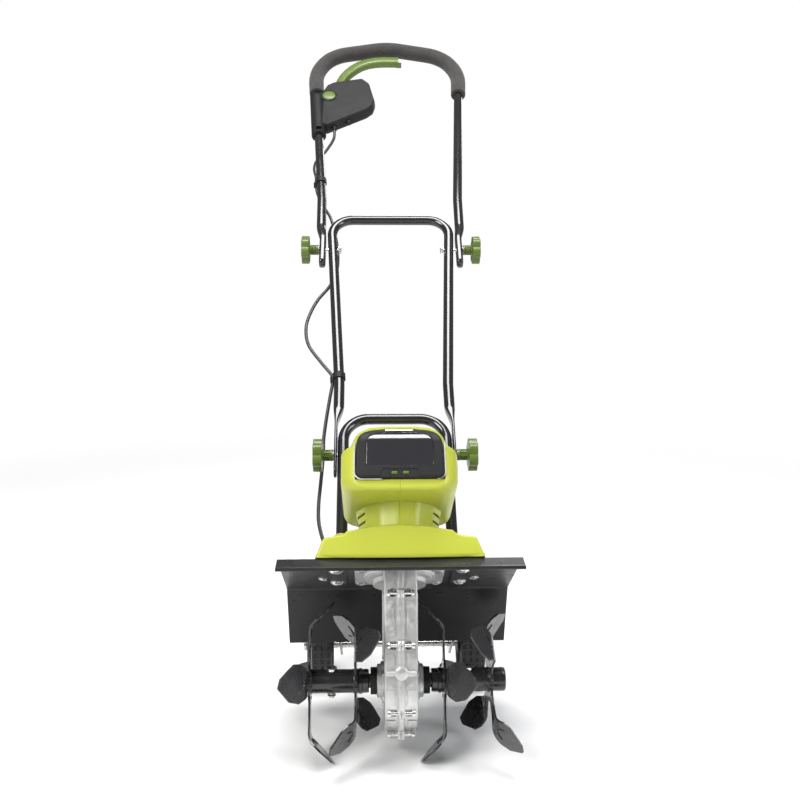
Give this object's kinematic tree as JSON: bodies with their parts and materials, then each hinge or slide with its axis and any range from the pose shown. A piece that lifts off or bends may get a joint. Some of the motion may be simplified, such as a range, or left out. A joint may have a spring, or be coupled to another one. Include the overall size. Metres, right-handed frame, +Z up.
{
  "type": "mini cultivator",
  "caption": "Upright battery garden cultivator: folding tube handle with foam grip and bail lever, moulded motor housing over a sheet guard, cast gear case and bent tines.",
  "frame": {"origin": "centre of the object's footprint at the ground, midway between the front tines and the grip", "axes": "+X is to the right seen from the front, +Y runs back towards the operator, +Z is up"},
  "size_m": [0.3669, 1.1466, 1.2605],
  "materials": {
    "guard_black": "semi-matte powder coat",
    "cast_aluminium": "raw casting",
    "zinc_steel": "zinc plated",
    "lime_plastic": "semi-gloss moulded",
    "leaf_plastic": "satin moulded",
    "black_plastic": "fine textured moulded",
    "smoked_window": "polished",
    "tube_black": "gloss powder coat",
    "tine_black": "gloss enamel",
    "dark_steel": "oiled",
    "foam": "closed-cell foam",
    "wheel_black": "moulded",
    "cable_black": "satin jacket",
    "brass": "machined",
    "board_green": "solder mask",
    "copper": "wound"
  },
  "bodies": {
    "base": {"guard": "guard_black", "gear_case_left": "cast_aluminium", "gear_case_right": "cast_aluminium", "case_bolts": "zinc_steel", "motor_flange": "cast_aluminium", "guard_screws": "zinc_steel", "base_cover": "lime_plastic", "housing_left": "lime_plastic", "housing_right": "lime_plastic", "battery_tray": "black_plastic", "battery_pack_left": "black_plastic", "battery_pack_right": "black_plastic", "lid_pin": "zinc_steel", "motor_can": "zinc_steel", "control_board": "board_green", "bearings": "zinc_steel", "shaft_seals": "black_plastic", "wheel_bracket": "tube_black", "wheel_axle": "zinc_steel", "lower_tube": "tube_black", "lower_bolts": "zinc_steel", "cable_lower": "cable_black", "cover_gland": "black_plastic"},
    "rotor": {"rotor": "copper", "cooling_fan": "black_plastic"},
    "cross": {"cross_shaft": "dark_steel", "worm_wheel": "brass"},
    "tines": {"output_gear": "dark_steel", "tine_shaft": "dark_steel", "tine_hub_left": "tine_black", "tine_hub_right": "tine_black", "tine_plate_left_outer": "tine_black", "tine_plate_left_inner": "tine_black", "tine_plate_right_outer": "tine_black", "tine_plate_right_inner": "tine_black", "clevis_pins": "zinc_steel", "spring_clips": "zinc_steel"},
    "wheel_left": {"wheel_left": "wheel_black"},
    "wheel_right": {"wheel_right": "wheel_black"},
    "lid": {"lid_frame": "black_plastic", "lid_window": "smoked_window", "lid_catches": "leaf_plastic"},
    "middle_handle": {"middle_tube": "tube_black", "upper_bolts": "zinc_steel", "cable_middle": "cable_black", "clip_middle": "black_plastic"},
    "upper_handle": {"upper_tube": "tube_black", "foam_grip": "foam", "switch_box_left": "black_plastic", "switch_box_right": "black_plastic", "lever_pin": "zinc_steel", "cable_upper": "cable_black", "clip_upper": "black_plastic", "switch_gland": "black_plastic"},
    "lever": {"bail_lever": "leaf_plastic"},
    "button": {"safety_button": "leaf_plastic"},
    "knob_lower_left": {"knob_lower_left": "leaf_plastic"},
    "knob_lower_right": {"knob_lower_right": "leaf_plastic"},
    "knob_upper_left": {"knob_upper_left": "leaf_plastic"},
    "knob_upper_right": {"knob_upper_right": "leaf_plastic"}
  },
  "joints": [
    {"name": "tine_spin", "type": "hinge", "parent": "base", "child": "tines", "pos_m": [0, -0.4668, 0.10648], "axis": [1, 0, 0], "continuous": true},
    {"name": "cross_spin", "type": "hinge", "parent": "base", "child": "cross", "pos_m": [0, -0.45706, 0.1758], "axis": [1, 0, 0], "continuous": true},
    {"name": "rotor_spin", "type": "hinge", "parent": "base", "child": "rotor", "pos_m": [0, -0.4348, 0.26098], "axis": [0, 0.5446, 0.8387], "continuous": true},
    {"name": "wheel_left_spin", "type": "hinge", "parent": "base", "child": "wheel_left", "pos_m": [0, -0.2218, 0.0625], "axis": [1, 0, 0], "continuous": true},
    {"name": "wheel_right_spin", "type": "hinge", "parent": "base", "child": "wheel_right", "pos_m": [0, -0.2218, 0.0625], "axis": [1, 0, 0], "continuous": true},
    {"name": "lid_hinge", "type": "hinge", "parent": "base", "child": "lid", "pos_m": [0, -0.42923, 0.46602], "axis": [1, 0, 0], "range_deg": [-90, 0]},
    {"name": "middle_handle_fold", "type": "hinge", "parent": "base", "child": "middle_handle", "pos_m": [0, -0.2118, 0.39048], "axis": [1, 0, 0], "range_deg": [0, 138]},
    {"name": "upper_handle_fold", "type": "hinge", "parent": "middle_handle", "child": "upper_handle", "pos_m": [0, 0.10871, 0.74645], "axis": [1, 0, 0], "range_deg": [-138, 0]},
    {"name": "lever_squeeze", "type": "hinge", "parent": "upper_handle", "child": "lever", "pos_m": [-0.11, 0.45867, 1.13511], "axis": [0, -0.7431, 0.6691], "range_deg": [0, 4], "stiffness_Nm_per_rad": 1.5},
    {"name": "button_press", "type": "slide", "parent": "upper_handle", "child": "button", "axis": [0, 0.7431, -0.6691], "range_m": [0, 0.003], "stiffness_N_per_m": 400},
    {"name": "knob_lower_left_turn", "type": "hinge", "parent": "base", "child": "knob_lower_left", "pos_m": [-0.14, -0.2118, 0.39048], "axis": [1, 0, 0], "continuous": true},
    {"name": "knob_lower_right_turn", "type": "hinge", "parent": "base", "child": "knob_lower_right", "pos_m": [0.14, -0.2118, 0.39048], "axis": [1, 0, 0], "continuous": true},
    {"name": "knob_upper_left_turn", "type": "hinge", "parent": "middle_handle", "child": "knob_upper_left", "pos_m": [-0.14, 0.10871, 0.74645], "axis": [1, 0, 0], "continuous": true},
    {"name": "knob_upper_right_turn", "type": "hinge", "parent": "middle_handle", "child": "knob_upper_right", "pos_m": [0.14, 0.10871, 0.74645], "axis": [1, 0, 0], "continuous": true}
  ],
  "couplings": [
    {"joint": "cross_spin", "follows": "tine_spin", "ratio": -4},
    {"joint": "rotor_spin", "follows": "tine_spin", "ratio": -14}
  ]
}
